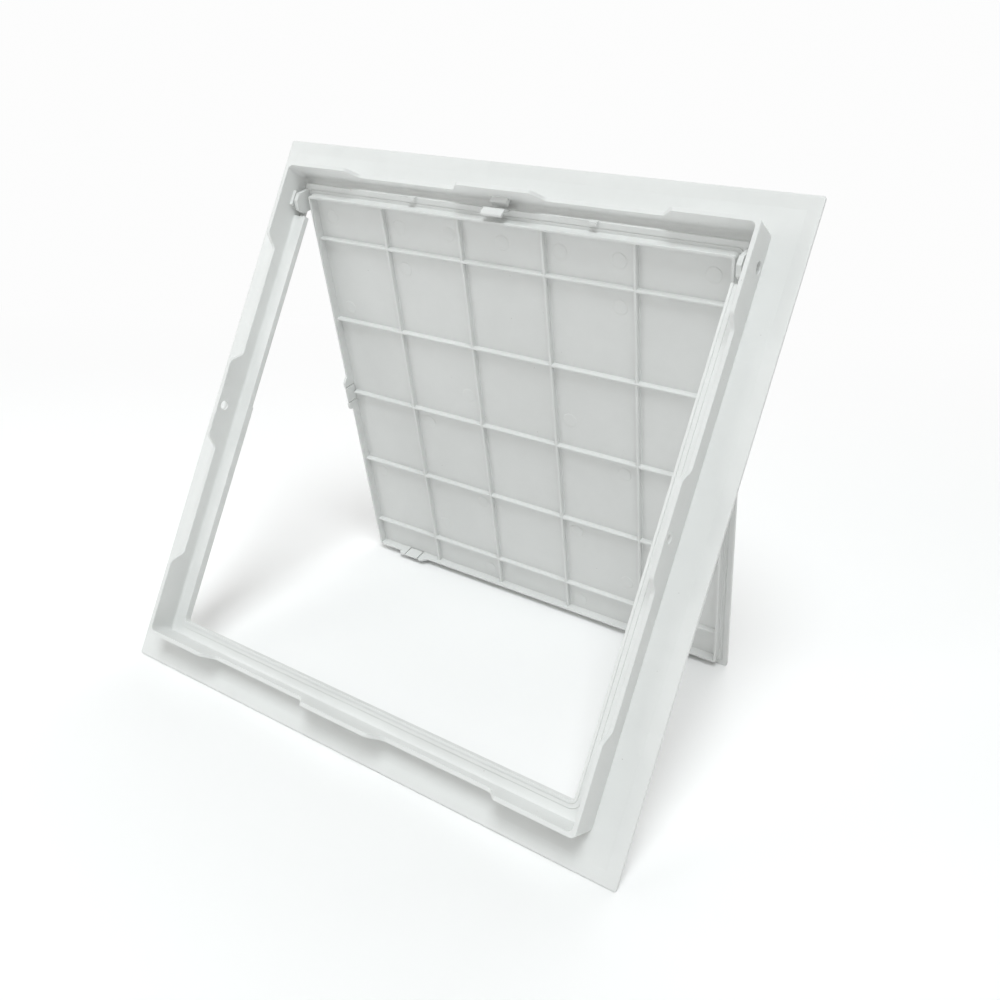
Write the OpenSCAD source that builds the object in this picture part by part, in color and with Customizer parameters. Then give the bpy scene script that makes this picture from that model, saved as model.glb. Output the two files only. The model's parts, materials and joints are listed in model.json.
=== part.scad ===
// Ceiling access panel: a moulded square frame with a hinged door that snaps shut into it.
// Every piece is drawn in the closed panel lying flat, back upwards: X runs along the hinge, Y towards
// the hinge edge and Z towards the ceiling void, with Z = 0 on the lip that bears on the ceiling.
// The door is then swung open and the whole panel stood on two edges, like an easel.

/* [Opening and collar] */
// Clear opening, side of the square
opening = 301; // [240:1:600]
// Width of the stop lip, from the collar's inside to the opening
lip_w = 9.9; // [9:0.1:14]
// Wall of the collar
collar_t = 2.6; // [2:0.1:4]
// Height of the collar at its corners and at the middle of each side
collar_h = 20.5; // [19:0.5:32]
// Depth of the low stretches of the collar's edge
wave_drop = 9; // [4:0.5:12]
// Length of the high stretch at each corner and at the middle of each side
wave_high = 48; // [36:1:56]
// Length of the slope between a high and a low stretch
wave_slope = 10; // [6:0.5:16]
// Corner radius of the collar, outside and inside
collar_r = 3; // [1.5:0.5:8]

/* [Flange] */
// Overhang of the flange past the collar
flange_w = 22; // [16:0.5:40]
// Thickness of the flange plate
flange_t = 3; // [2.6:0.1:4]
// Thickness of the flange at its outer edge
flange_edge_t = 2; // [1.2:0.1:2.5]
// Width of the sloping border, front and back
bevel_w = 8; // [5:0.5:12]
// Depth of the dished back below the bearing lip
dish = 1.3; // [0.6:0.1:2]
// Width of the bearing lip
bearing_w = 1.2; // [0.8:0.1:2]
// Corner radius of the flange
flange_r = 1.5; // [1:0.5:8]

/* [Stop lip] */
// Height of the lip's back above the bearing plane
lip_top = 3.5; // [2.5:0.1:5]
// Thickness of the lip
lip_t = 5.2; // [4:0.1:6]
// Height of each step in the lip's back
lip_step = 0.5; // [0.2:0.1:0.8]
// Width of the raised bead round the opening
bead_w = 1.8; // [1.2:0.1:3]
// Width of the step behind the bead
ledge_w = 2.6; // [1.5:0.1:3]
// Corner radius of the opening
opening_r = 2.5; // [1.5:0.5:5]

/* [Screw holes] */
// Diameter of the fixing hole in each side of the collar
screw_d = 6; // [4:0.1:7]
// Height of the fixing holes above the bearing plane
screw_z = 14.5; // [13:0.5:18]
// Distance of the fixing holes from the middle of the side, away from the hinge
screw_off = 4; // [0:0.5:10]

/* [Door] */
// How far the door's skin laps over the stop lip
door_lap = 5.5; // [4:0.1:7]
// Gap round the door in the front of the frame
door_gap = 1; // [0.6:0.1:1.6]
// Wider gap at the door's hinge edge, which swings back into the collar
hinge_gap = 4; // [3:0.1:6]
// Thickness of the door's skin
door_t = 2.4; // [2:0.1:3]
// Gap between the shut door and the stop lip
shut_gap = 0.1; // [0.05:0.05:0.3]
// Gap between the door's rim and the opening
rim_gap = 0.5; // [0.4:0.1:1.2]
// Wall of the rim
rim_t = 1.6; // [1.4:0.1:2.4]
// Height of the rim above the skin
rim_h = 6; // [5:0.1:8]
// Spacing of the ribs
rib_pitch = 60.4; // [40:0.2:80]
// Distance from the rim's hinge side to the first rib
rib_first = 30.6; // [15:0.2:60]
// Width of a rib
rib_t = 2; // [1.6:0.1:3]
// Height of a rib above the skin
rib_h = 3.5; // [2:0.1:5]

/* [Hinge] */
// Distance from the door's hinge edge to the hinge axis
hinge_in = 10.5; // [9:0.1:13]
// Height of the hinge axis above the bearing plane
hinge_z = 4; // [3:0.1:5]
// Diameter of a hinge pin
pin_d = 6.9; // [5:0.1:7.5]
// Radial clearance of a pin where it turns in the collar
pin_gap = 0.05; // [0.02:0.01:0.1]
// Width of a hinge ear
ear_w = 13.4; // [12:0.1:16]
// Height of a hinge ear above the skin
ear_h = 13; // [11:0.1:14]
// Thickness of a hinge ear
ear_t = 3; // [2.6:0.1:3.4]

/* [Latches] */
// Width of a latch tongue
tongue_w = 12; // [8:0.2:14]
// Width of the slit on each side of a tongue
slit = 0.8; // [0.5:0.1:1.2]
// Length of the raised shoulder beside each slit
shoulder = 5.6; // [4:0.1:8]
// Rise of a latch above the rim
latch_rise = 3.8; // [3:0.1:5]
// Grip of a latch's barb behind the stop lip
barb_grip = 0.8; // [0.4:0.1:1.2]
// Distance from the rim's corner to the middle of a lower latch
latch_in = 35; // [20:0.5:60]

/* [Stance] */
// Angle of the open door from shut
door_open = 41.3; // [25:0.1:60]

/* [Hidden] */
$fn = 48;

white = [0.93, 0.94, 0.93];
cool_white = [0.88, 0.90, 0.89];
// Overlaps of joined shapes, and reach of a cut past the face it opens
root = 0.5;
cut = 1;
// Gap at a seam between pieces that move apart
seam = 0.3;

// Half sizes, measured from the middle of the panel
open_half = opening/2;
inner_half = open_half + lip_w;
collar_half = inner_half + collar_t;
buried = inner_half + collar_t/2;
flange_half = collar_half + flange_w;
door_half = open_half + door_lap;
recess_half = door_half + door_gap;
rim_half = open_half - rim_gap;
// The door and its rim stop shorter on the hinge side
door_end = recess_half - hinge_gap;
rim_end = door_end - (door_half - rim_half);

// Heights in the flat panel
flange_back = -dish;
flange_front = flange_back - flange_t;
lip_front = lip_top - lip_t;
grip_z = lip_top + seam;
skin_back = lip_front - shut_gap;
skin_front = skin_back - door_t;
rim_top = skin_back + rim_h;
latch_top = rim_top + latch_rise;

// Hinge: the door's edge sweeps back inside the collar, so the lip stops short of the hinge
hinge_y = door_end - hinge_in;
hook_reach = 2.4;
hook_knee = 4.8;
edge_r = norm([hinge_in, hinge_z - skin_front]);
knee_r = norm([hinge_in + hook_reach, hinge_z - skin_back - hook_knee]);
swing_r = max(edge_r, knee_r);
swing_y = hinge_y + swing_r + seam;
ear_out = recess_half - 2*seam;
ear_foot_r = norm([ear_w/2, hinge_z - skin_back]);
notch_y = hinge_y - ear_foot_r - 2*seam;
boss_t = 2;
boss_w = 10;
boss_rise = 6;
pin_sink = 1.8;
pin_end = collar_half - pin_sink;
pin_web = 0.8;
pin_root = ear_out - ear_t + pin_web;
pin_seat_gap = 0.02;

// Latches, as turn about the panel's middle, shift along that side and flip
lower_shift = rim_half - latch_in;
first_row = rim_end - rib_first;
middle_row = first_row - rib_pitch*floor(first_row/rib_pitch + 0.5);
LEFT = [180, -middle_row, 1];
RIGHT = [0, middle_row, 0];
LOWER_LEFT = [270, -lower_shift, 0];
LOWER_RIGHT = [270, lower_shift, 1];

// Stance: both feet, the flange's front edge and the skin's back edge, stand on the floor
function opened(p) = let (d = p - [hinge_y, hinge_z], c = cos(door_open), s = sin(door_open))
    [hinge_y + d[0]*c - d[1]*s, hinge_z + d[0]*s + d[1]*c];
flange_foot = [-flange_half, -flange_edge_t];
door_foot = opened([-door_half, skin_back]);
door_toe = opened([-door_half, skin_front]);
collar_heel = [-collar_half, collar_h];
lean = atan2(flange_foot[1] - door_foot[1], door_foot[0] - flange_foot[0]);
function across(p) = p[0]*cos(lean) - p[1]*sin(lean);
function above(p) = p[0]*sin(lean) + p[1]*cos(lean);
middle_y = (across(collar_heel) + across(door_toe))/2;

module stand() {
    translate([0, -middle_y, -above(flange_foot)]) rotate([lean, 0, 0]) children();
}

module swung_open() {
    stand() translate([0, hinge_y, hinge_z]) rotate([door_open, 0, 0]) translate([0, -hinge_y, -hinge_z])
        children();
}

// Turns what is drawn for the +X side to every side of the square
module each_side() {
    for (turn = [0 : 90 : 270]) rotate([0, 0, turn]) children();
}

// Draws a profile of distance from the middle against height, running along Y for a length
module along_side(length) {
    rotate([90, 0, 0]) linear_extrude(height = length, center = true) children();
}

// Draws a profile of Y against height, running from one X to another
module across_side(x0, x1) {
    translate([x0, 0, 0]) rotate([90, 0, 90]) linear_extrude(height = x1 - x0) children();
}

// Rectangle with round corners, from -half to half in X and from -half to end in Y
module round_field(half, end, r) {
    long = (half + end)/2;
    translate([0, (end - half)/2]) {
        square([2*half, 2*(long - r)], center = true);
        square([2*(half - r), 2*long], center = true);
        for (x = [-1, 1], y = [-1, 1]) translate([x*(half - r), y*(long - r)]) circle(r);
    }
}

module round_square(half, r) {
    round_field(half, half, r);
}

module square_ring(half_out, r_out, half_in, r_in) {
    difference() {
        round_square(half_out, r_out);
        round_square(half_in, r_in);
    }
}

module slab(z0, z1) {
    translate([0, 0, z0]) linear_extrude(height = z1 - z0) children();
}

// Square block whose four sides all have the same upright profile
module four_sided(profile, length) {
    intersection() {
        along_side(length) polygon(profile);
        rotate([0, 0, 90]) along_side(length) polygon(profile);
    }
}

// Plate with a bevelled front and a dished back, so that only its outer lip bears on the ceiling
module flange() {
    flat_half = flange_half - bevel_w;
    bearing_half = flange_half - bearing_w;
    plate = [[-flat_half, flange_front], [flat_half, flange_front], [flange_half, -flange_edge_t],
             [flange_half, 0], [-flange_half, 0], [-flange_half, -flange_edge_t]];
    dish_wall = (bearing_half - flat_half)/dish;
    dish_half = bearing_half + cut*dish_wall;
    pit = [[-flat_half, flange_back], [flat_half, flange_back], [dish_half, cut], [-dish_half, cut]];
    difference() {
        intersection() {
            four_sided(plate, 3*flange_half);
            slab(flange_front - cut, cut) round_square(flange_half, flange_r);
        }
        four_sided(pit, 3*flange_half);
        slab(flange_front - cut, cut) round_square(recess_half, opening_r);
    }
}

// Low stretch of the collar's edge, between two slopes, as the outline that is cut away
module wave_gap() {
    steps = 8;
    first = wave_high/2;
    last = collar_half - wave_high;
    function fall(t) = collar_h - wave_drop*(1 - cos(180*t))/2;
    polygon(concat(
        [[last, collar_h + cut], [first, collar_h + cut]],
        [for (i = [0 : steps]) [first + wave_slope*i/steps, fall(i/steps)]],
        [for (i = [0 : steps]) [last - wave_slope*(1 - i/steps), fall(1 - i/steps)]]));
}

module collar() {
    difference() {
        slab(lip_front - root, collar_h)
            square_ring(collar_half, collar_r, inner_half, collar_r);
        each_side() for (end = [0, 1]) mirror([0, end, 0])
            across_side(inner_half - cut, collar_half + cut) wave_gap();
    }
}

// Stop lip in three shallow steps, highest in a bead round the opening, with a cove against the collar
module stop_lip() {
    cove = 2;
    steps = 4;
    foot = lip_top - 2*lip_step;
    function bow(i) = [inner_half - cove*(1 - sin(90*i/steps)), foot + cove*(1 - cos(90*i/steps))];
    cove_profile = concat(
        [for (i = [0 : steps]) bow(i)],
        [[buried, foot + cove], [buried, foot - root], [inner_half - cove, foot - root]]);
    difference() {
        slab(lip_front, lip_top) square_ring(buried, collar_r, open_half, opening_r);
        for (step = [1, 2]) {
            width = step == 1 ? bead_w : bead_w + ledge_w;
            slab(lip_top - step*lip_step, lip_top + cut)
                square_ring(collar_half, collar_r, open_half + width, opening_r + width);
        }
    }
    each_side() along_side(2*inner_half) polygon(cove_profile);
}

// Room for the hinge edge of the door to swing back, and for the ears beside it
module hinge_room() {
    translate([-recess_half, 0, flange_front - cut])
        cube([2*recess_half, max(swing_y, recess_half + seam), lip_front - flange_front + 2*cut]);
    translate([-buried, notch_y, lip_front]) cube([2*buried, swing_y - notch_y, collar_h]);
}

module hinge_boss(side) {
    flip = side > 0 ? 0 : 1;
    mirror([flip, 0, 0]) translate([inner_half - boss_t, hinge_y - boss_w/2, lip_front - root])
        cube([boss_t + collar_t/2, boss_w, hinge_z + boss_rise - lip_front + root]);
}

// Catch at the middle of the hinge side that the door's hook passes
module keeper() {
    keeper_w = 12;
    keeper_t = 3.2;
    keeper_rise = 2.2;
    slope = 1;
    low = hinge_z + keeper_rise;
    high = low + keeper_t;
    rotate([0, 0, 90]) along_side(keeper_w)
        polygon([[swing_y, low], [buried, low], [buried, high], [swing_y + slope, high]]);
}

module frame() {
    color(white) stand() difference() {
        union() {
            collar();
            difference() {
                union() {
                    flange();
                    stop_lip();
                }
                hinge_room();
            }
            hinge_boss(1);
            hinge_boss(-1);
            keeper();
        }
        for (side = [-1, 1]) {
            translate([side*collar_half, -screw_off, screw_z]) rotate([0, 90, 0])
                cylinder(d = screw_d, h = 4*collar_t, center = true);
            translate([side*collar_half, hinge_y, hinge_z]) rotate([0, 90, 0])
                cylinder(r = pin_d/2 + pin_gap, h = 4*(collar_t + boss_t), center = true);
        }
    }
}

// Straight rib with a rounded top, along X
module rib(length) {
    rotate([90, 0, 90]) linear_extrude(height = length, center = true) {
        translate([-rib_t/2, -root]) square([rib_t, rib_h - rib_t/2 + root]);
        translate([0, rib_h - rib_t/2]) circle(d = rib_t);
    }
}

module rib_grid() {
    reach = rim_half - rim_t/2;
    run = rim_half + rim_end - rim_t;
    inside = rim_half - rim_t - rib_t;
    columns = floor(inside/rib_pitch + 0.5);
    translate([0, 0, skin_back]) {
        for (y = [first_row : -rib_pitch : -inside]) translate([0, y, 0]) rib(2*reach);
        translate([0, (rim_end - rim_half)/2, 0]) for (column = [1 : columns], side = [-1, 1])
            translate([side*(column - 0.5)*rib_pitch, 0, 0]) rotate([0, 0, 90]) rib(run);
    }
}

// Faint round marks that the ejector pins leave on the back of the skin, the same on both halves,
// placed as shares of the rim's half side
module ejector_marks() {
    mark_d = 10;
    mark_depth = 0.04;
    top_row = [for (x = [0, 0.27, 0.53, 0.91]) [x, 0.88]];
    inner_column = [for (y = [0.11, -0.5, -0.93]) [0.27, y]];
    middle_column = [for (y = [0.69, -0.1, -0.72]) [0.53, y]];
    outer_column = [for (y = [0.44, -0.5]) [0.91, y]];
    marks = concat(top_row, inner_column, middle_column, outer_column);
    for (mark = marks, side = mark[0] > 0 ? [-1, 1] : [1])
        translate([side*mark[0]*rim_half, mark[1]*rim_half, skin_back - mark_depth])
            cylinder(d = mark_d, h = mark_depth + cut);
}

// Flat skin with a fine line let into its back, just inside the edge
module skin() {
    line_in = 3.4;
    line_w = 0.6;
    line_depth = 0.45;
    line_r = 3;
    difference() {
        slab(skin_front, skin_back) round_field(door_half, door_end, opening_r);
        slab(skin_back - line_depth, skin_back + cut) difference() {
            round_field(door_half - line_in, door_end - line_in, line_r);
            round_field(door_half - line_in - line_w, door_end - line_in - line_w, line_r - line_w);
        }
        ejector_marks();
    }
}

// Rim that stands inside the opening when the door is shut
module rim() {
    rim_r = opening_r - rim_gap;
    slab(skin_back - root, rim_top) difference() {
        round_field(rim_half, rim_end, rim_r);
        round_field(rim_half - rim_t, rim_end - rim_t, max(rim_r - rim_t, seam));
    }
}

// Raised part of the rim beside a latch, a little proud of it, with a ramp at one end and a blunt nose
// at the other
module latch_block() {
    proud = rim_gap/2;
    half = tongue_w/2 + slit + shoulder;
    ramp = latch_rise/2;
    nose = 1.5;
    low = rim_top - latch_rise;
    outline = [[-half, low], [half + ramp, low], [half + ramp, rim_top], [half - ramp, latch_top],
               [nose - half, latch_top], [-half, latch_top - nose]];
    across_side(rim_half - rim_t, rim_half + proud) polygon(outline);
}

// Clear way through the rim for a tongue, its slits and its bend inwards
module latch_slot() {
    bend_room = 1.2;
    across_side(rim_half - rim_t - bend_room, rim_half + rim_gap)
        translate([-tongue_w/2 - slit, skin_back]) square([tongue_w + 2*slit, latch_top - skin_back + cut]);
}

// Tongue with a barb on its outside that grips behind the stop lip
module latch_tongue() {
    foot = skin_back + seam;
    inside = rim_half - rim_t;
    tip = open_half + barb_grip;
    crest = 0.8;
    profile = [[inside, foot], [rim_half, foot], [rim_half, grip_z], [tip, grip_z], [tip, grip_z + crest],
               [rim_half, latch_top - crest], [rim_half - rim_t/3, latch_top], [inside, latch_top]];
    along_side(tongue_w) polygon(profile);
}

module at_latch(place) {
    rotate([0, 0, place[0]]) translate([0, place[1], 0]) mirror([0, place[2], 0]) children();
}

module hinge_ear(side) {
    chamfer = 3.5;
    flip = side > 0 ? 0 : 1;
    half = ear_w/2;
    outline = [[-half, -root], [half, -root], [half, ear_h - chamfer], [half - chamfer, ear_h],
               [chamfer - half, ear_h], [-half, ear_h - chamfer]];
    mirror([flip, 0, 0]) difference() {
        across_side(ear_out - ear_t, ear_out) translate([hinge_y, skin_back]) polygon(outline);
        translate([pin_root - pin_seat_gap, hinge_y, hinge_z]) rotate([0, 90, 0])
            cylinder(r = pin_d/2 + pin_seat_gap, h = 2*ear_t);
    }
}

// Curled hook at the middle of the hinge edge
module hook() {
    hook_w = 15;
    hook_t = 1.6;
    foot = [door_end - seam, skin_back - door_t/2];
    knee = [door_end + hook_reach, skin_back + hook_knee];
    tip = [door_end, skin_back + 2*hook_knee];
    rotate([0, 0, 90]) along_side(hook_w)
        polygon([foot - [hook_t, 0], foot, knee, tip, tip - [hook_t, hook_t/2], knee - [hook_t, 0]]);
}

// Small stop that stands on the hinge edge and a little past it, on each side of the hook
module edge_stop(side) {
    stop_w = 5;
    stop_d = 2.2;
    stop_h = 2.2;
    stop_off = 64.5;
    translate([side*stop_off - stop_w/2, door_end + root - stop_d, skin_back - door_t/2])
        cube([stop_w, stop_d, stop_h + door_t/2]);
}

module door_panel() {
    places = [LEFT, RIGHT, LOWER_LEFT, LOWER_RIGHT];
    color(cool_white) swung_open() {
        difference() {
            union() {
                skin();
                rim();
                rib_grid();
                for (place = places) at_latch(place) latch_block();
            }
            for (place = places) at_latch(place) latch_slot();
        }
        hinge_ear(1);
        hinge_ear(-1);
        hook();
        edge_stop(1);
        edge_stop(-1);
    }
}

module hinge_pin(side) {
    flip = side > 0 ? 0 : 1;
    chamfer = 0.6;
    length = pin_end - pin_root;
    color(cool_white) swung_open() mirror([flip, 0, 0])
        translate([pin_root, hinge_y, hinge_z]) rotate([0, 90, 0]) {
            cylinder(d = pin_d, h = length - chamfer);
            translate([0, 0, length - chamfer]) cylinder(d1 = pin_d, d2 = pin_d - 2*chamfer, h = chamfer);
        }
}

module latch(place) {
    color(cool_white) swung_open() at_latch(place) latch_tongue();
}

frame();
door_panel();
hinge_pin(-1);  // hinge_pin_left
hinge_pin(1);  // hinge_pin_right
latch(LEFT);  // latch_left
latch(RIGHT);  // latch_right
latch(LOWER_LEFT);  // latch_lower_left
latch(LOWER_RIGHT);  // latch_lower_right
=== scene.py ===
"""Ceiling access panel in white moulded plastic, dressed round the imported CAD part."""

import json
import math

import bmesh
import bpy
from mathutils import Matrix, Vector
from mathutils.kdtree import KDTree


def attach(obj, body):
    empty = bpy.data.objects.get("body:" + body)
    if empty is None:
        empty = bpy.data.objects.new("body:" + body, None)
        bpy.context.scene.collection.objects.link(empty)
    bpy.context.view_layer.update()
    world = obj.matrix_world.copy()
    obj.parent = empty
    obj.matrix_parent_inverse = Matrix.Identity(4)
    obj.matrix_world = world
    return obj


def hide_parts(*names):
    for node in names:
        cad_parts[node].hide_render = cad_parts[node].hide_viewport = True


MM = 0.001

# Folds in degrees: above SHARP an edge is rounded, from CREASE to SHARP it may stay a crisp line, and below FLAT
# two faces become one
SHARP = 24
CREASE = 3
FLAT = 0.4
# Points closer than WELD become one, and points closer than LEVEL to a plane lie on it
WELD = 0.002 * MM
LEVEL = 0.02 * MM
# A crease is kept where it is this long and its two strips are this wide
LONG_CREASE = 20 * MM
STRIP_WIDTH = 0.9 * MM
# A rounding takes up to this share of the room beside it, and isn't made if it comes out smaller than this
ROOM_SHARE = 0.42
LEAST_ROUNDING = 0.13 * MM
# Longest edge across the end of a curved strip
STRIP_END = 3 * MM
# Step between the points that stand for an edge, and the most of them
SAMPLE_STEP = 0.4 * MM
MOST_SAMPLES = 400
# Where a rounding folds over, edges up to this length and distance from the spot lose theirs
SPOILT_LENGTH = 12 * MM
SPOILT_REACH = 0.6 * MM
SETTLE_ROUNDS = 4
# Walls of the round pin marks: least and greatest height in the CAD part, then the slope's width and its lift
MARK_WALL = (0.03 * MM, 0.05 * MM)
MARK_SLOPE = 0.5 * MM
MARK_LIFT = 0.3 * MM
# Columns of pin marks on the door, from its middle line, in mm
MARK_COLUMNS = (-136.5, -79.5, -40.5, 0.0, 40.5, 79.5, 136.5)

# Direction across the floor in which the camera looks, and the distances along it, in metres behind the panel's
# middle, over which the paper turns into a bright backdrop
LOOK = (-0.54, 0.84, 0.0)
BACKDROP_FROM = 0.15
BACKDROP_TO = 0.9

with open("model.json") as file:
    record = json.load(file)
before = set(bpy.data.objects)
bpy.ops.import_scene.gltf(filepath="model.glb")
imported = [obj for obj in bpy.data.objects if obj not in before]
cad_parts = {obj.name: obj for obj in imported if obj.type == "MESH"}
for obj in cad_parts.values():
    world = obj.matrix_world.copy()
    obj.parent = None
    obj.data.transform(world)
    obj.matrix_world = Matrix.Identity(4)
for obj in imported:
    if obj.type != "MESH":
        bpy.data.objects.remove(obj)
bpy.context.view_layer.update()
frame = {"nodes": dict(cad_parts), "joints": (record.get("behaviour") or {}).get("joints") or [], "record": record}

JOINTS = {joint["name"]: joint for joint in frame["joints"]}
MOUNTS = {mount["name"]: mount for mount in frame["record"]["mounts"]}
HINGE = Vector(JOINTS["door_hinge"]["pos_m"])
ACROSS = Vector((1, 0, 0))
# Directions from the free side of each moulding towards its hinge
UP_DOOR = Vector(JOINTS["latch_left_bend"]["axis"])
UP_FRAME = Vector(MOUNTS["bearing_lip"]["axis"]).cross(ACROSS)


# Finishes


class Value:
    """A socket of a finish. Arithmetic on it adds Math nodes."""

    def __init__(self, finish, socket):
        self.finish = finish
        self.socket = socket

    def _math(self, operation, first, second):
        return self.finish.node("ShaderNodeMath", {"operation": operation}, {0: first, 1: second})

    def __add__(self, other):
        return self._math("ADD", self, other)

    def __radd__(self, other):
        return self._math("ADD", other, self)

    def __sub__(self, other):
        return self._math("SUBTRACT", self, other)

    def __rsub__(self, other):
        return self._math("SUBTRACT", other, self)

    def __mul__(self, other):
        return self._math("MULTIPLY", self, other)

    def __rmul__(self, other):
        return self._math("MULTIPLY", other, self)


class Finish:
    """One material, built node by node."""

    def __init__(self, name):
        self.material = bpy.data.materials.new(name)
        self.material.use_nodes = True
        self.tree = self.material.node_tree
        self.tree.nodes.clear()

    def node(self, kind, settings, sockets, output=0):
        """Adds a node: its settings first, then the values or links of its sockets."""
        made = self.tree.nodes.new(kind)
        for name, setting in settings.items():
            setattr(made, name, setting)
        for name, value in sockets.items():
            if isinstance(value, Value):
                self.tree.links.new(value.socket, made.inputs[name])
            else:
                made.inputs[name].default_value = value
        return Value(self, made.outputs[output]) if made.outputs else None

    def noise(self, place, scale, detail=2.0, roughness=0.5):
        """Soft noise from 0 to 1; scale counts features per metre."""
        return self.node(
            "ShaderNodeTexNoise",
            {},
            {"Vector": place, "Scale": scale, "Detail": detail, "Roughness": roughness},
        )

    def between(self, value, low, high):
        """0 below low, 1 above high, smooth between them."""
        return self.node(
            "ShaderNodeMapRange",
            {"interpolation_type": "SMOOTHSTEP"},
            {"Value": value, "From Min": low, "From Max": high},
        )

    def mix(self, amount, first, second):
        """Blends two colours."""
        return self.node("ShaderNodeMix", {"data_type": "RGBA"}, {0: amount, 6: first, 7: second}, output=2)

    def surface(self, shader):
        self.node("ShaderNodeOutputMaterial", {}, {"Surface": shader})
        return self.material


def moulded_white(name, pale, deep, grain):
    """White moulded plastic: faint flow clouds, fine mould grain, soft gloss and a few specks."""
    finish = Finish(name)
    place = finish.node("ShaderNodeTexCoord", {}, {}, output="Object")
    cloud = finish.noise(place, 9.0, detail=3.0, roughness=0.55)
    flow = finish.noise(place, 60.0, detail=4.0, roughness=0.6)
    tint = finish.mix(finish.between(0.6 * cloud + 0.4 * flow, 0.32, 0.68), deep, pale)
    dots = finish.node(
        "ShaderNodeTexVoronoi", {"feature": "F1"}, {"Vector": place, "Scale": 75.0, "Randomness": 1.0}
    )
    speck = 1.0 - finish.between(dots, 0.018, 0.03)
    colour = finish.mix(speck * 0.45, tint, (0.30, 0.29, 0.26, 1.0))
    fine = finish.noise(place, 2600.0, detail=2.0, roughness=0.6)
    broad = finish.noise(place, 120.0, detail=2.0, roughness=0.5)
    gloss = 0.36 + 0.10 * cloud + 0.08 * fine
    relief = finish.node(
        "ShaderNodeBump", {}, {"Strength": grain, "Distance": 0.06 * MM, "Height": fine + 1.6 * broad}
    )
    shader = finish.node(
        "ShaderNodeBsdfPrincipled",
        {},
        {"Base Color": colour, "Roughness": gloss, "Normal": relief, "IOR": 1.5, "Specular IOR Level": 0.42},
    )
    return finish.surface(shader)


def pale_floor():
    """White paper sweep that takes soft shadows under the panel and fades to a bright backdrop behind it."""
    finish = Finish("pale_floor")
    place = finish.node("ShaderNodeTexCoord", {}, {}, output="Object")
    behind = finish.node(
        "ShaderNodeVectorMath", {"operation": "DOT_PRODUCT"}, {0: place, 1: LOOK}, output="Value"
    )
    fade = finish.between(behind, BACKDROP_FROM, BACKDROP_TO)
    paper = finish.node("ShaderNodeBsdfDiffuse", {}, {"Color": (0.97, 0.97, 0.97, 1.0)})
    glow = finish.node("ShaderNodeEmission", {}, {"Color": (1.0, 1.0, 1.0, 1.0), "Strength": 0.98})
    blend = finish.node("ShaderNodeMixShader", {}, {0: fade, 1: paper, 2: glow})
    return finish.surface(blend)


FRAME_WHITE = moulded_white("frame_white", (0.80, 0.81, 0.80, 1.0), (0.77, 0.78, 0.77, 1.0), 0.20)
DOOR_WHITE = moulded_white("door_white", (0.73, 0.74, 0.73, 1.0), (0.70, 0.71, 0.70, 1.0), 0.30)


# Moulded pieces


def folded_edges(shape, least, most):
    """Edges whose two faces meet at a fold between two angles, in degrees."""
    folds = (math.radians(least), math.radians(most))
    return [e for e in shape.edges if len(e.link_faces) == 2 and folds[0] < e.calc_face_angle() <= folds[1]]


def keep_creases(shape):
    """Keeps the long shallow folds between flat strips crisp. Returns the end points of the other long folds,
    which belong to curved strips."""
    ends = set()
    for edge in folded_edges(shape, CREASE, SHARP):
        length = edge.calc_length()
        if length < LONG_CREASE:
            continue
        if min(face.calc_area() for face in edge.link_faces) > STRIP_WIDTH * length:
            edge.smooth = False
        else:
            ends.update(edge.verts)
    return ends


def room_across(edge, points, reach):
    """Distance from an edge to the nearest other sharp edge straight across its faces, up to reach."""
    middle = (edge.verts[0].co + edge.verts[1].co) / 2
    along = (edge.verts[1].co - edge.verts[0].co).normalized()
    near = [Vector(co) - middle for co, _, _ in points.find_range(middle, reach)]
    room = reach
    for face in edge.link_faces:
        room = min(room, face.calc_area() / edge.calc_length())
        inward = along.cross(face.normal)
        if inward.dot(face.calc_center_median() - middle) < 0:
            inward.negate()
        for step in near:
            across = step.dot(inward)
            on_face = abs(step.dot(face.normal)) < LEVEL
            if on_face and across > LEVEL and across > abs(step.dot(along)):
                room = min(room, across)
    return room


def split_across(shape, cuts):
    """Cuts every face along planes through the round holes and marks, so that no face keeps a hole."""
    for point, across in cuts:
        everything = shape.verts[:] + shape.edges[:] + shape.faces[:]
        found = bmesh.ops.bisect_plane(shape, geom=everything, plane_co=point, plane_no=across, dist=WELD / 2)
        for part in found["geom_cut"]:
            if isinstance(part, bmesh.types.BMEdge):
                part.seam = True


def ease_edges(shape, radius, strip_ends):
    """Weighs each sharp edge for its rounding, by the room on the faces beside it, and keeps the rest crisp.
    Short edges across the end of a curved strip are kept too."""
    weight = shape.edges.layers.float.new("bevel_weight_edge")
    sharp = folded_edges(shape, SHARP, 180)
    samples = []
    for edge in sharp:
        a, b = (v.co for v in edge.verts)
        count = max(1, min(MOST_SAMPLES, int((b - a).length / SAMPLE_STEP)))
        samples += [a.lerp(b, i / count) for i in range(count + 1)]
    points = KDTree(len(samples))
    for i, point in enumerate(samples):
        points.insert(point, i)
    points.balance()
    for edge in sharp:
        ease = min(radius, ROOM_SHARE * room_across(edge, points, 3 * radius))
        across_end = edge.calc_length() < STRIP_END and not strip_ends.isdisjoint(edge.verts)
        if ease > LEAST_ROUNDING and not across_end:
            edge[weight] = ease / radius
        else:
            edge.smooth = False


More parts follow.
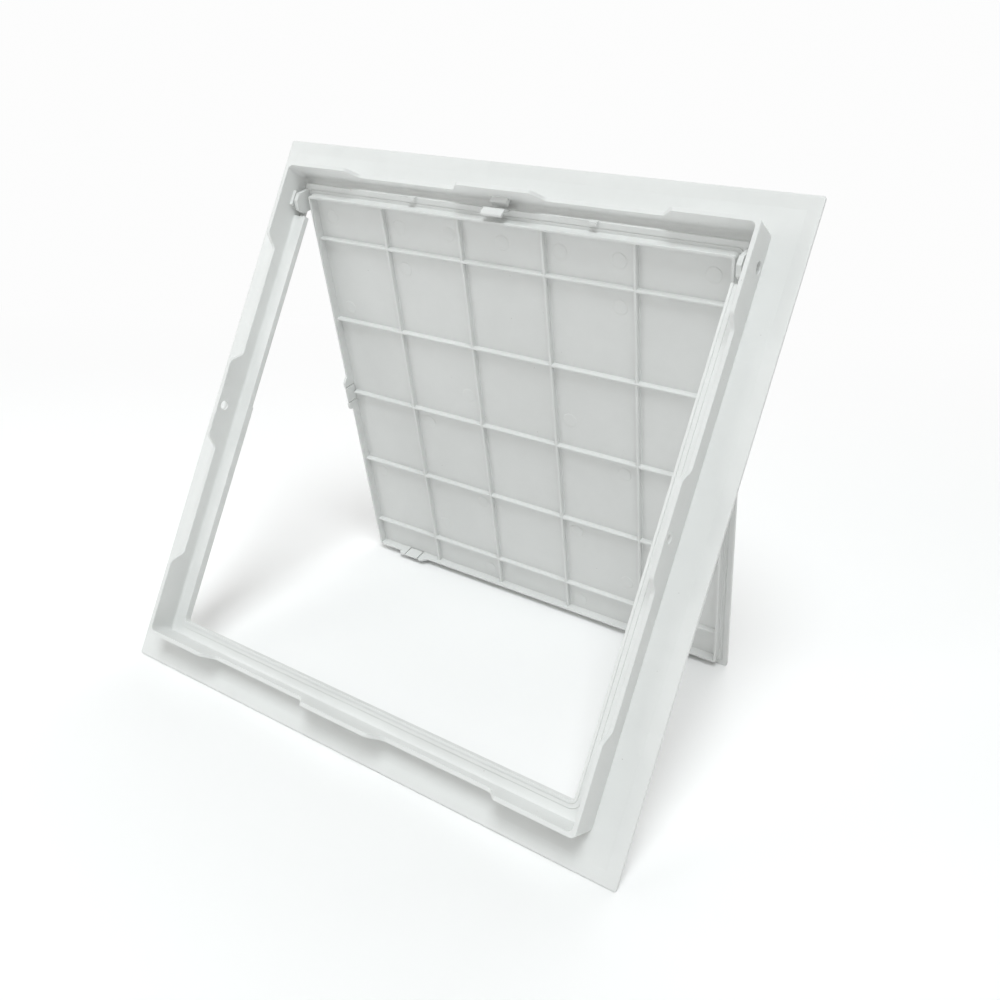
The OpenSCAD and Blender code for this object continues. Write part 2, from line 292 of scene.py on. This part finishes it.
def slope_marks(shape):
    """Slopes the low walls of the round pin marks in the door's skin and lifts their floors into faint pads."""
    back = ACROSS.cross(UP_DOOR)
    for wall in [e for e in shape.edges if MARK_WALL[0] < e.calc_length() < MARK_WALL[1]]:
        if any(len(face.verts) != 4 or abs(face.normal.dot(back)) > 0.01 for face in wall.link_faces):
            continue
        inward = sum((face.normal for face in wall.link_faces), Vector()).normalized()
        low = min(wall.verts, key=lambda v: v.co.dot(back))
        for edge in [e for face in wall.link_faces for e in face.edges]:
            edge.smooth = False
        low.co += MARK_SLOPE * inward + MARK_LIFT * back


def spoilt_spots(piece):
    """Middles of faces whose shading turns away from them, where the rounding has folded over."""
    rounded = piece.evaluated_get(bpy.context.evaluated_depsgraph_get())
    mesh = rounded.to_mesh()
    normals = mesh.corner_normals
    spots = [
        face.center.copy()
        for face in mesh.polygons
        if min(face.normal.dot(normals[i].vector) for i in face.loop_indices) < 0
    ]
    rounded.to_mesh_clear()
    return spots


def settle_rounding(piece):
    """Takes the rounding off short edges beside spoilt spots, a few times over."""
    mesh = piece.data
    weights = mesh.attributes["bevel_weight_edge"].data
    for _ in range(SETTLE_ROUNDS):
        spots = spoilt_spots(piece)
        near = KDTree(len(spots))
        for i, spot in enumerate(spots):
            near.insert(spot, i)
        near.balance()
        for edge in mesh.edges:
            a, b = (mesh.vertices[v].co for v in edge.vertices)
            if weights[edge.index].value == 0 or (b - a).length > SPOILT_LENGTH:
                continue
            if near.find_range((a + b) / 2, (b - a).length / 2 + SPOILT_REACH):
                weights[edge.index].value = 0
                edge.use_edge_sharp = True
        mesh.update()


def eased_piece(name, node, body, finish, radius, cuts=()):
    """Copy of a CAD node with its edges and inside corners rounded, as they leave the mould."""
    shape = bmesh.new()
    shape.from_mesh(frame["nodes"][node].data)
    bmesh.ops.remove_doubles(shape, verts=shape.verts, dist=WELD)
    split_across(shape, cuts)
    bmesh.ops.dissolve_limit(
        shape, angle_limit=math.radians(FLAT), verts=shape.verts, edges=shape.edges, delimit={"SEAM"}
    )
    shape.normal_update()
    for edge in shape.edges:
        edge.smooth = True
    slope_marks(shape)
    ease_edges(shape, radius, keep_creases(shape))
    mesh = bpy.data.meshes.new(name)
    shape.to_mesh(mesh)
    shape.free()
    old_normals = mesh.attributes.get("custom_normal")
    if old_normals:
        mesh.attributes.remove(old_normals)
    mesh.shade_smooth()
    piece = bpy.data.objects.new(name, mesh)
    bpy.context.scene.collection.objects.link(piece)
    rounding = piece.modifiers.new("rounding", "BEVEL")
    rounding.limit_method = "WEIGHT"
    rounding.width = radius
    rounding.segments = 2
    rounding.use_clamp_overlap = False
    rounding.harden_normals = True
    mesh.materials.clear()
    mesh.materials.append(finish)
    settle_rounding(piece)
    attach(piece, body)
    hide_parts(node)


frame_cuts = [(HINGE, UP_FRAME), (Vector(MOUNTS["screw_hole_right"]["pos_m"]), UP_FRAME)]
door_cuts = [(Vector((x * MM, 0, 0)), ACROSS) for x in MARK_COLUMNS] + [(HINGE, UP_DOOR)]

eased_piece("frame_moulding", "frame", "frame", FRAME_WHITE, 0.4 * MM, frame_cuts)
eased_piece("door_moulding", "door_panel", "door", DOOR_WHITE, 0.35 * MM, door_cuts)
for side in ("left", "right"):
    eased_piece(f"pin_{side}", f"hinge_pin_{side}", "door", DOOR_WHITE, 0.2 * MM)
for place in ("left", "right", "lower_left", "lower_right"):
    latch = f"latch_{place}"
    eased_piece(f"tongue_{place}", latch, latch, DOOR_WHITE, 0.25 * MM)


# Stage: floor swept up behind, soft light and the camera


def sweep_floor():
    """Paper from near the camera to far behind the panel, where it bends up. Sizes are in metres."""
    near, far, rise, bend = -6.0, 4.0, 5.0, 1.5
    half_width = 8.0
    turns = 16
    profile = [(near, 0.0), (far - bend, 0.0)]
    for i in range(1, turns + 1):
        a = math.pi / 2 * i / turns
        profile.append((far - bend + bend * math.sin(a), bend - bend * math.cos(a)))
    profile.append((far, rise))
    shape = bmesh.new()
    rows = [[shape.verts.new((x, y, z)) for x in (-half_width, half_width)] for y, z in profile]
    for low, high in zip(rows, rows[1:]):
        shape.faces.new((low[0], low[1], high[1], high[0]))
    mesh = bpy.data.meshes.new("floor")
    shape.to_mesh(mesh)
    shape.free()
    mesh.shade_smooth()
    mesh.materials.append(pale_floor())
    floor = bpy.data.objects.new("floor", mesh)
    bpy.context.scene.collection.objects.link(floor)


def soft_light(name, place, size, power, colour=(1.0, 1.0, 1.0)):
    """Round soft box turned to the middle of the panel."""
    aim = Vector((0.0, 0.0, 0.15))
    lamp = bpy.data.lights.new(name, "AREA")
    lamp.shape = "DISK"
    lamp.size = size
    lamp.energy = power
    lamp.color = colour
    light = bpy.data.objects.new(name, lamp)
    light.location = place
    light.rotation_mode = "QUATERNION"
    light.rotation_quaternion = (aim - Vector(place)).to_track_quat("-Z", "Y")
    bpy.context.scene.collection.objects.link(light)


def photo_camera():
    """Camera at the photograph's view, solved from the corners of the flange."""
    forward = Vector((-0.48879, 0.76015, -0.42807)).normalized()
    level = forward.cross(Vector((0, 0, 1))).normalized()
    roll = math.radians(1.676)
    right = level * math.cos(roll) + level.cross(forward) * math.sin(roll)
    up = right.cross(forward)
    camera = bpy.data.objects.new("camera", bpy.data.cameras.new("camera"))
    camera.data.lens = 35.196
    camera.data.sensor_width = 36.0
    camera.data.clip_start = 0.01
    turn = Matrix((right, up, -forward)).transposed().to_4x4()
    camera.matrix_world = Matrix.Translation(HINGE + Vector((0.32825, -0.49638, 0.10376))) @ turn
    bpy.context.scene.collection.objects.link(camera)
    bpy.context.scene.camera = camera


sweep_floor()
soft_light("key_above", (0.7, -1.4, 3.25), 1.6, 70.0, (0.945, 0.985, 1.0))
soft_light("fill_left", (-1.3, -0.2, 1.2), 1.0, 2.6)
soft_light("near_left", (-0.6, -0.7, 0.65), 0.5, 1.4)
soft_light("fill_front", (0.0, -1.3, 1.5), 1.0, 0.8)
soft_light("fill_behind", (0.0, 1.3, 1.5), 1.0, 5.0)
photo_camera()

world = bpy.data.worlds.new("studio")
world.use_nodes = True
world.node_tree.nodes["Background"].inputs["Color"].default_value = (1.0, 0.99, 0.95, 1.0)
world.node_tree.nodes["Background"].inputs["Strength"].default_value = 0.29
bpy.context.scene.world = world
bpy.context.scene.view_settings.view_transform = "Standard"
